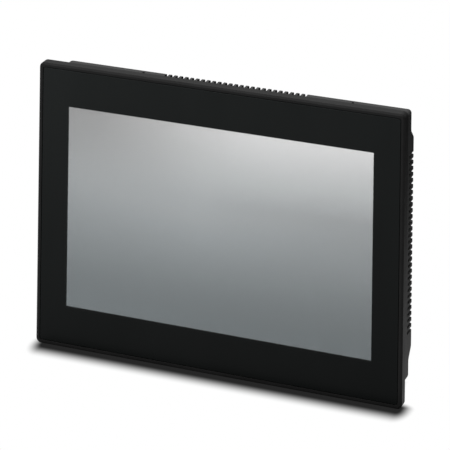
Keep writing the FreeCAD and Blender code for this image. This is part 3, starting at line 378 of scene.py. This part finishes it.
def display(name):
    """Switched off display whose base colour holds a painted reflection: a soft grey sheen, lightest at the
    top right, over a fine pixel grid.
    """
    s = Shader(name)
    x, _, z = s.axes()
    across = s.ramp(x, LIT_X - LIT_W / 2, LIT_X + LIT_W / 2)
    down = s.ramp(z, LIT_Z + LIT_H / 2, LIT_Z - LIT_H / 2)
    off_centre = s.maths("ABSOLUTE", s.maths("SUBTRACT", across, SHEEN_CENTRE))
    top = s.ramp(across, 0.0, SHEEN_TOP_REACH, *SHEEN_TOP, "SMOOTHSTEP")
    middle = s.ramp(off_centre, 0.0, SHEEN_SPREAD, *SHEEN_MIDDLE)
    low = s.ramp(across, 0.0, 1.0, *SHEEN_LOW)
    # painted reflection: brightness of the sheen drawn into the base colour, lightest at the top right
    level = s.ramp(down, 0.0, UPPER_END, top, middle)
    level = s.ramp(down, LOWER_START, LOWER_END, level, low, "SMOOTHSTEP")
    painted_reflection = s.blend(1.0, s.shade(level), s.blend(down, grey(1.0), grey(1.0, LOW_TINT)), "MULTIPLY")
    lines = [s.ramp(s.maths("PINGPONG", along, PIXEL), PIXEL_LINE, 0.0) for along in (x, z)]
    base = s.blend(s.maths("MULTIPLY", s.maths("MAXIMUM", *lines), PIXEL_DARK), painted_reflection, grey(0.1))
    haze = s.noise(0.35 * MM, 2.0)
    return s.surface(
        Base_Color=base,
        Roughness=s.ramp(haze, *CLOUD, 0.38, 0.5),
        Normal=s.bump(haze, 0.002 * MM),
        Specular_IOR_Level=0.3,
    )


def acrylic(name):
    """Clear acrylic with a dense pattern of printed dots."""
    s = Shader(name)
    dots = s.ramp(s.cells(DOT_CELL), 0.28, 0.2)
    base = s.blend(dots, grey(0.75, (0.95, 1.0, 1.0)), grey(0.95))
    return s.surface(Base_Color=base, Roughness=s.ramp(dots, 0.0, 1.0, 0.06, 0.5), Alpha=0.85)


# --- electronics --------------------------------------------------------------------------------------
def circuit_board(name):
    """Solder mask over tracks, with tinned pads."""
    s = Shader(name)
    tracks = s.ramp(s.cells(TRACK_CELL, metric="MANHATTAN"), 0.42, 0.5)
    fine = s.ramp(s.cells(FINE_CELL, metric="CHEBYCHEV"), 0.36, 0.42)
    pads = s.ramp(s.cells(PAD_CELL), 0.16, 0.12)
    weave = s.noise(0.5 * MM, 2.0, (6.0, 6.0, 1.0))
    base = s.blend(tracks, grey(1.0, (0.008, 0.075, 0.032)), grey(1.0, (0.02, 0.15, 0.06)))
    base = s.blend(s.maths("MULTIPLY", fine, 0.4), base, grey(1.0, (0.03, 0.19, 0.08)))
    base = s.blend(pads, base, grey(0.62, (1.0, 0.98, 0.92)))
    raised = s.maths("ADD", s.maths("MAXIMUM", tracks, pads), s.maths("MULTIPLY", weave, 0.3))
    return s.surface(
        Base_Color=base,
        Metallic=s.maths("MULTIPLY", pads, 0.9),
        Roughness=s.ramp(weave, *CLOUD, 0.28, 0.42),
        Normal=s.bump(raised, 0.035 * MM),
        Coat_Weight=0.3,
    )


def flex_circuit(name):
    """Amber flexible circuit with copper tracks along its length."""
    s = Shader(name)
    x = s.axes()[0]
    tracks = s.ramp(s.maths("PINGPONG", x, TRACK_HALF), *TRACK_SIDES)
    cloud = s.noise(2.0 * MM)
    base = s.blend(tracks, grey(1.0, (0.55, 0.24, 0.04)), grey(1.0, (0.42, 0.12, 0.03)))
    base = s.blend(s.ramp(cloud, *CLOUD, 0.0, 0.15), base, grey(1.0, (0.7, 0.4, 0.1)))
    return s.surface(Base_Color=base, Roughness=0.3, Normal=s.bump(tracks, 0.02 * MM), Coat_Weight=0.5)


def chip(name):
    """Moulded epoxy package: dull, with fine filler grains."""
    s = Shader(name)
    grains, cloud = s.noise(0.12 * MM, 2.0), s.noise(5.0 * MM)
    normal, edge_mask = s.edges(COATED_EDGE)
    base = s.blend(s.ramp(grains, *CLOUD), grey(0.014), grey(0.03))
    base = s.blend(s.maths("MULTIPLY", edge_mask, 0.3), base, grey(0.12))
    return s.surface(
        Base_Color=base,
        Roughness=s.ramp(cloud, *CLOUD, 0.45, 0.65),
        Normal=s.bump(grains, 0.012 * MM, normal),
    )


def label_film(name):
    """Blank silver label with a thin printed frame."""
    s = Shader(name)
    low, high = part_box("rating_label")
    x, _, z = s.axes()
    insets = []
    for along, first, last in ((x, low.x, high.x), (z, low.z, high.z)):
        insets.append(s.maths("MINIMUM", s.maths("SUBTRACT", along, first), s.maths("SUBTRACT", last, along)))
    inset = s.maths("MINIMUM", *insets)
    off_line = s.maths("ABSOLUTE", s.maths("SUBTRACT", inset, LABEL_INSET))
    line = s.ramp(off_line, *LABEL_SIDES)
    streaks, cloud = s.noise(0.25 * MM, 3.0, (30.0, 1.0, 1.0)), s.noise(12.0 * MM)
    base = s.blend(s.ramp(streaks, *STREAKS), grey(0.4), grey(0.52))
    base = s.blend(s.ramp(cloud, 0.35, 0.7, 0.0, 0.2), base, grey(0.34))
    return s.surface(
        Base_Color=s.blend(line, base, grey(0.05)),
        Metallic=s.ramp(line, 0.0, 1.0, 0.55, 0.0),
        Roughness=s.ramp(streaks, *CLOUD, 0.32, 0.46),
        Normal=s.bump(streaks, 0.004 * MM),
    )


def finishes():
    """Material of every material slot of the frame."""
    steel, nickel = grey(0.58, (0.98, 1.0, 1.02)), grey(0.66, (1.0, 0.98, 0.94))
    green, red = grey(1.0, (0.03, 0.2, 0.06)), grey(1.0, (0.42, 0.025, 0.02))
    cream, ivory = grey(0.72, (1.0, 0.99, 0.95)), grey(0.75, (1.0, 0.99, 0.96))
    return {
        "frame_plastic": moulded("frame_plastic", grey(0.008), 0.5, rough=(0.4, 0.55), gloss=0.08),
        "cover_plastic": moulded("cover_plastic", grey(0.022), 0.7, 0.035, rough=(0.45, 0.62), gloss=0.1),
        "cover_glass": printed_glass("cover_glass"),
        "touch_glass": sensor_glass("touch_glass"),
        "display": display("display"),
        "diffuser_film": film("diffuser_film", grey(0.82, (1.0, 1.0, 0.99)), rough=0.6),
        "light_guide": acrylic("light_guide"),
        "sheet_steel": metal("sheet_steel", steel, line=0.3, brush=(1.0, 1.0, 25.0), stain=0.3),
        "screw_steel": metal("screw_steel", grey(0.5, (0.97, 1.0, 1.05)), brush=(1.0, 1.0, 1.0), line=0.2),
        "black_screws": black_coated("black_screws"),
        "brass": metal("brass", grey(0.7, (1.0, 0.74, 0.35)), brush=(1.0, 12.0, 1.0)),
        "foam_seal": foam("foam_seal"),
        "black_tape": film("black_tape", grey(0.02), rough=0.6),
        "thermal_pad": silicone("thermal_pad", grey(0.42, (0.9, 1.0, 1.15))),
        "circuit_board": circuit_board("circuit_board"),
        "flex_circuit": flex_circuit("flex_circuit"),
        "cable_white": moulded("cable_white", cream, 0.3, 0.008, worn=1.0),
        "chip_black": chip("chip_black"),
        "heatsink": metal("heatsink", grey(0.035), rough=(0.35, 0.5), brush=(1.0, 1.0, 40.0), stain=0.1),
        "can_metal": metal("can_metal", grey(0.72), brush=(1.0, 14.0, 1.0), stain=0.08),
        "port_metal": metal("port_metal", nickel, rough=(0.2, 0.34), brush=(1.0, 1.0, 20.0)),
        "contact_gold": metal("contact_gold", grey(0.85, (1.0, 0.72, 0.27)), rough=(0.16, 0.26), stain=0.08),
        "port_plastic": moulded("port_plastic", grey(0.022), 0.25, 0.01, rough=(0.35, 0.5)),
        "terminal_green": moulded("terminal_green", green, 0.3, worn=1.35, gloss=0.5),
        "card_plastic": moulded("card_plastic", grey(0.03, (0.8, 0.9, 1.3)), 0.2, 0.01),
        "switch_red": moulded("switch_red", red, 0.25, worn=1.3, gloss=0.5),
        "lever_white": moulded("lever_white", ivory, 0.2, 0.006, worn=1.0),
        "label_film": label_film("label_film"),
    }


def dress(looks):
    """Gives each CAD node the finish of the material slot it was packed with."""
    for node in frame["nodes"].values():
        for place in node.material_slots:
            place.material = looks[place.material.name.split(".")[0]]


# --- soft parts ---------------------------------------------------------------------------------------
def skin_rows(form, rows, looped):
    """Faces between neighbouring rows of vertices, with the two ends joined or closed."""
    for first, second in zip(rows, rows[1:] + (rows[:1] if looped else [])):
        for i in range(len(first)):
            j = (i + 1) % len(first)
            form.faces.new((first[i], first[j], second[j], second[i]))
    if not looped:
        form.faces.new(rows[0])
        form.faces.new(rows[-1])


def settle(form, name, slot, looks, node):
    """Makes the form a finished piece in place of a plain CAD solid of the panel."""
    bmesh.ops.recalc_face_normals(form, faces=form.faces)
    mesh = bpy.data.meshes.new(name)
    form.to_mesh(mesh)
    form.free()
    mesh.shade_smooth()
    mesh.set_sharp_from_angle(angle=math.radians(CREASE))
    mesh.materials.append(looks[slot])
    made = bpy.data.objects.new(name, mesh)
    bpy.context.scene.collection.objects.link(made)
    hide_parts(node)
    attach(made, "panel")


def loft(name, rings, looped, slot, looks, node):
    """Piece whose skin runs over a row of rings of points."""
    form = bmesh.new()
    skin_rows(form, [[form.verts.new(point) for point in ring] for ring in rings], looped)
    settle(form, name, slot, looks, node)


def rounded_track(low, high, inset, radius, step):
    """Places round a rounded rectangle across Y, each as x, z and its outward direction in x and z."""
    corner_x, corner_z = high.x - inset - radius, high.z - inset - radius
    centre_x, centre_z = (low.x + high.x) / 2, (low.z + high.z) / 2
    corner_x, corner_z = corner_x - centre_x, corner_z - centre_z
    track = []
    for turn, (sx, sz) in enumerate(((1, 1), (-1, 1), (-1, -1), (1, -1))):
        for i in range(BEND_STEPS + 1):
            angle = (turn + i / BEND_STEPS) * math.pi / 2
            out_x, out_z = math.cos(angle), math.sin(angle)
            x, z = centre_x + sx * corner_x + radius * out_x, centre_z + sz * corner_z + radius * out_z
            track.append((x, z, out_x, out_z))
        along_x = turn % 2 == 0
        length = 2 * (corner_x if along_x else corner_z)
        count = round((high.x - low.x if along_x else high.z - low.z) / step)
        x, z, out_x, out_z = track[-1]
        for i in range(1, count):
            track.append((x - out_z * length * i / count, z + out_x * length * i / count, out_x, out_z))
    return track


def foam_seal(looks):
    """Foam ring stuck in the frame's groove: crowned, a little uneven, its ends butted at the bottom."""
    low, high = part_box("panel_gasket")
    thick = high.y - low.y
    profile = [*SEAL_CROWN, (0.0, 1.0), *((-across, up) for across, up in reversed(SEAL_CROWN))]
    rings = []
    for x, z, out_x, out_z in rounded_track(low, high, SEAL_BAND / 2, SEAL_R, SEAL_STEP):
        wave = math.sin(x * SEAL_WAVES[0]) * math.sin(z * SEAL_WAVES[1] + 1.0)
        swell = 1.0 - SEAL_UNEVEN * (1.0 + wave)
        ring = []
        for across, up in profile:
            side = across * SEAL_BAND * swell
            rise = thick * up * (swell if up > 0 else 1.0)
            ring.append((x + out_x * side, low.y + rise, z + out_z * side))
        if z < 0 and abs(x) < SEAL_STEP / 2:
            flat = [(low.y + (py - low.y) * JOINT_HEIGHT, z + (pz - z) * JOINT_WIDTH) for _, py, pz in ring]
            rings.append([(px - SEAL_JOINT / 2, py, pz) for px, py, pz in ring])
            rings.append([(px, py, pz) for (px, _, _), (py, pz) in zip(ring, flat)])
            rings.append([(px + SEAL_JOINT / 2, py, pz) for px, py, pz in ring])
        else:
            rings.append(ring)
    loft("foam_door_seal", rings, True, "foam_seal", looks, "panel_gasket")


def silicone_pad(looks):
    """Soft pad squeezed between the processor and the heatsink, its sides pressed outwards."""
    low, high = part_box("thermal_pad")
    rings = []
    for level in range(PAD_LEVELS + 1):
        share = level / PAD_LEVELS
        inset = PAD_BULGE * (1.0 - math.sin(math.pi * share))
        y = low.y + (high.y - low.y) * share
        rings.append([(x, y, z) for x, z, _, _ in rounded_track(low, high, inset, PAD_R, PAD_STEP)])
    loft("silicone_heat_pad", rings, False, "thermal_pad", looks, "thermal_pad")


def bent(points, radius):
    """Places along a line across X whose corners are rounded, as y and z with the direction there."""
    route = []
    for i, point in enumerate(points):
        if i in (0, len(points) - 1):
            route.append(Vector(point))
            continue
        before = (Vector(points[i - 1]) - Vector(point)).normalized() * radius
        after = (Vector(points[i + 1]) - Vector(point)).normalized() * radius
        for step in range(BEND_STEPS + 1):
            share = step / BEND_STEPS
            turn = (1 - share) ** 2, share**2
            route.append(Vector(point) + before * turn[0] + after * turn[1])
    places = []
    for i, point in enumerate(route):
        first, last = route[max(i - 1, 0)], route[min(i + 1, len(route) - 1)]
        places.append((point, (last - first).normalized()))
    return places


def ribbon(name, route, sides, thickness, pitch, slot, looks, node):
    """Thin ribbon with one low ridge for each conductor, between two sides and along a bent line."""
    low_x, high_x = sides
    count = RIDGE_POINTS * round((high_x - low_x) / pitch)
    rings = []
    for place, along in route:
        off = Vector((-along.y, along.x))
        one_side, other_side = [], []
        for i in range(count + 1):
            ridge = RIDGE_MEAN + RIDGE_SWELL * math.cos(2 * math.pi * i / RIDGE_POINTS + math.pi)
            x = low_x + (high_x - low_x) * i / count
            for side, row in ((1.0, one_side), (-1.0, other_side)):
                at = place + off * thickness * ridge * side
                row.append((x, at.x, at.y))
        rings.append(one_side + other_side[::-1])
    loft(name, rings, False, slot, looks, node)


def cables(looks):
    """Ribbon and touch tail between the display and the board."""
    low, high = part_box("display_cable")
    half, drop = RIBBON_T / 2, low.y + (high.y - low.y) * RIBBON_DROP
    points = [(low.y, high.z - half), (drop, high.z - half), (drop, low.z + half), (high.y, low.z + half)]
    route = bent(points, RIBBON_BEND)
    sides = low.x, high.x
    ribbon("display_ribbon", route, sides, RIBBON_T, RIBBON_PITCH, "cable_white", looks, "display_cable")
    low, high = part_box("touch_tail")
    half = TAIL_T / 2
    front, back, bottom = low.y + half, high.y - half, low.z + half
    points = [(front, high.z - TAIL_SHORT), (front, bottom), (back, bottom), (back, high.z)]
    route = bent(points, TAIL_BEND)
    sides = low.x, high.x
    ribbon("touch_flex", route, sides, TAIL_T, TAIL_PITCH, "flex_circuit", looks, "touch_tail")


def backlight_wires(looks):
    """Pair of round wires, each a little bowed, with closed ends."""
    low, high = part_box("backlight_cable")
    radius, z = (high.z - low.z) / 2, (low.z + high.z) / 2
    form = bmesh.new()
    for side, x in ((1.0, low.x + radius), (-1.0, high.x - radius)):
        rows = []
        for step in range(WIRE_STEPS + 1):
            share = step / WIRE_STEPS
            bow = WIRE_BOW * math.sin(math.pi * share) ** 2
            y = low.y + (high.y - low.y) * share
            turns = [2 * math.pi * i / WIRE_SIDES for i in range(WIRE_SIDES)]
            centre_x, centre_z = x + side * bow, z + side * bow * math.cos(math.pi * share)
            ring = [(centre_x + radius * math.cos(a), y, centre_z + radius * math.sin(a)) for a in turns]
            rows.append([form.verts.new(point) for point in ring])
        skin_rows(form, rows, False)
    settle(form, "backlight_wires", "cable_white", looks, "backlight_cable")


# --- stage --------------------------------------------------------------------------------------------
def foot_shadow(s, x, y):
    """Brightness of the floor round the frame's foot, from the distance to the foot."""
    low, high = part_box("front_frame")
    end = s.maths("ABSOLUTE", s.maths("SUBTRACT", x, SHADOW_SHIFT))
    beside = s.maths("MAXIMUM", s.maths("SUBTRACT", end, high.x - SHADOW_INSET), 0.0)
    before = s.maths("MAXIMUM", s.maths("SUBTRACT", low.y, y), 0.0)
    behind = s.maths("MAXIMUM", s.maths("SUBTRACT", y, low.y + SHADOW_CORE), 0.0)
    off_x = s.maths("MULTIPLY", beside, SHADOW_ENDS)
    off_y = s.maths("MULTIPLY_ADD", behind, SHADOW_BEHIND, before)
    away = s.maths("SQRT", s.maths("MULTIPLY_ADD", off_x, off_x, s.maths("MULTIPLY", off_y, off_y)))
    return s.ramp(away, SHADOW_CORE, SHADOW_REACH, SHADOW_DARK, 1.0, "SMOOTHSTEP")


def housing_shade(s, x, y, seen):
    """Brightness of the floor under the housing, as the camera sees it."""
    low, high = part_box("rear_cover")
    from_ends = s.maths("SUBTRACT", high.x, s.maths("ABSOLUTE", x))
    from_back, from_front = s.maths("SUBTRACT", high.y, y), s.maths("SUBTRACT", y, low.y)
    depth = s.maths("MINIMUM", s.maths("MINIMUM", from_ends, from_back), from_front)
    share = s.maths("MULTIPLY", seen, s.ramp(depth, 0.0, UNDER_DEEP, 0.0, 1.0, "SMOOTHSTEP"))
    return s.ramp(share, 0.0, 1.0, 1.0, UNDER_DARK)


def floor_shine(s, y, mirrored):
    """Brightness of the floor in reflections, which falls off towards the back."""
    step = s.ramp(y, 0.0, SHINE_STEP, SHINE_FRONT, SHINE_NEAR)
    fade = s.ramp(y, 0.0, SHINE_FADE, SHINE_NEAR, SHINE_FAR)
    return s.ramp(mirrored, 0.0, 1.0, 1.0, s.maths("MINIMUM", step, fade))


def floor_paper():
    """White paper that is evenly lit, apart from the shadows worked out here, and clear from below."""
    s = Shader("floor")
    x, y, _ = s.axes()
    path = s.node("ShaderNodeLightPath").outputs
    shadow = s.maths("MULTIPLY", foot_shadow(s, x, y), housing_shade(s, x, y, path["Is Camera Ray"]))
    light = s.maths("MULTIPLY", shadow, floor_shine(s, y, path["Is Glossy Ray"]))
    paper = s.node("ShaderNodeEmission", {"Color": light}).outputs[0]
    clear = s.node("ShaderNodeBsdfTransparent").outputs[0]
    below = s.node("ShaderNodeNewGeometry").outputs["Backfacing"]
    mixed = s.node("ShaderNodeMixShader", {0: below, 1: paper, 2: clear}).outputs[0]
    s.feed(s.tree.nodes["Material Output"].inputs["Surface"], mixed)
    return s.material


def floor():
    """White floor just under the object. It throws light back up, and no shadow falls from it or on it."""
    half, z = FLOOR_SIZE / 2, CAD_BOX[0].z - FLOOR_GAP
    corners = [(-half, -half, z), (half, -half, z), (half, half, z), (-half, half, z)]
    mesh = bpy.data.meshes.new("floor")
    mesh.from_pydata(corners, [], [(0, 1, 2, 3)])
    mesh.materials.append(floor_paper())
    made = bpy.data.objects.new("floor", mesh)
    bpy.context.scene.collection.objects.link(made)
    for ray in ("transmission", "volume_scatter", "shadow"):
        setattr(made, f"visible_{ray}", False)


def world():
    """White studio: light from all round, weaker from above and from the right, before a white backdrop."""
    made = bpy.data.worlds.new("studio")
    bpy.context.scene.world = made
    made.use_nodes = True
    n = Nodes(made.node_tree)
    x, _, z = n.split(n.node("ShaderNodeTexCoord").outputs["Generated"])
    level = n.ramp(z, -HORIZON, HORIZON, GROUND, SKY)
    light = n.maths("MULTIPLY", level, n.ramp(x, SHADE_LEFT, SHADE_RIGHT, 1.0, SHADE_SHARE))
    seen = n.node("ShaderNodeLightPath").outputs["Is Camera Ray"]
    background = n.tree.nodes["Background"]
    n.feed(background.inputs["Color"], grey(1.0))
    n.feed(background.inputs["Strength"], n.ramp(seen, 0.0, 1.0, light, BACKGROUND))


def lamp(name, kind, place, aim, energy, **settings):
    """Light that points at aim and that the camera doesn't see."""
    data = bpy.data.lights.new(name, kind)
    data.energy = energy
    for key, value in settings.items():
        setattr(data, key, value)
    made = bpy.data.objects.new(name, data)
    bpy.context.scene.collection.objects.link(made)
    made.location = place
    made.rotation_euler = (aim - place).to_track_quat("-Z", "Y").to_euler()
    made.visible_camera = False


def lights():
    """Wide overhead softbox, a weak fill from the front left, and a small one close to the right side."""
    tilt, side = math.radians(SUN_TILT), math.radians(SUN_SIDE)
    above = Vector((math.tan(side), math.tan(tilt), 1.0)) * 2.0
    lamp("overhead", "SUN", above, Vector(), SUN_STRENGTH, angle=math.radians(SUN_WIDTH))
    lamp("fill", "AREA", FILL_PLACE, Vector(), FILL_POWER, size=FILL_SIZE)
    leftwards = BOUNCE_PLACE - Vector((1.0, 0.0, 0.0))
    lamp("bounce", "AREA", BOUNCE_PLACE, leftwards, BOUNCE_POWER, size=BOUNCE_SIZE)


def camera():
    """Camera whose film stands upright while it looks down, so that the object's uprights stay parallel."""
    low, high = CAD_BOX
    aim = (low + high) / 2 + CAMERA_AIM
    azimuth, elevation = math.radians(CAMERA_AZIMUTH), math.radians(CAMERA_ELEVATION)
    flat = math.cos(elevation)
    back = Vector((math.sin(azimuth) * flat, -math.cos(azimuth) * flat, math.sin(elevation)))
    yaw, roll = math.radians(FILM_YAW), math.radians(FILM_ROLL)
    level = Vector((math.cos(yaw), math.sin(yaw), 0.0))
    upright = Vector((0.0, 0.0, 1.0))
    right = level * math.cos(roll) + upright * math.sin(roll)
    up = upright * math.cos(roll) - level * math.sin(roll)
    data = bpy.data.cameras.new("camera")
    data.lens, data.sensor_width = LENS, SENSOR
    data.clip_start, data.clip_end = CLIP_NEAR, CLIP_FAR
    made = bpy.data.objects.new("camera", data)
    holder = bpy.data.objects.new("camera_holder", None)
    for thing in (holder, made):
        bpy.context.scene.collection.objects.link(thing)
    film = Matrix((right, up, back)).transposed().to_4x4()
    film.translation = aim + back * CAMERA_DISTANCE
    made.parent = holder
    made.matrix_parent_inverse = film
    bpy.context.scene.camera = made


def colour_management():
    """Plain display transform, so that white paper comes out white."""
    view = bpy.context.scene.view_settings
    view.view_transform = "Standard"
    view.look = "None"


looks = finishes()
dress(looks)
foam_seal(looks)
silicone_pad(looks)
cables(looks)
backlight_wires(looks)
floor()
world()
lights()
camera()
colour_management()

bpy.context.view_layer.update()
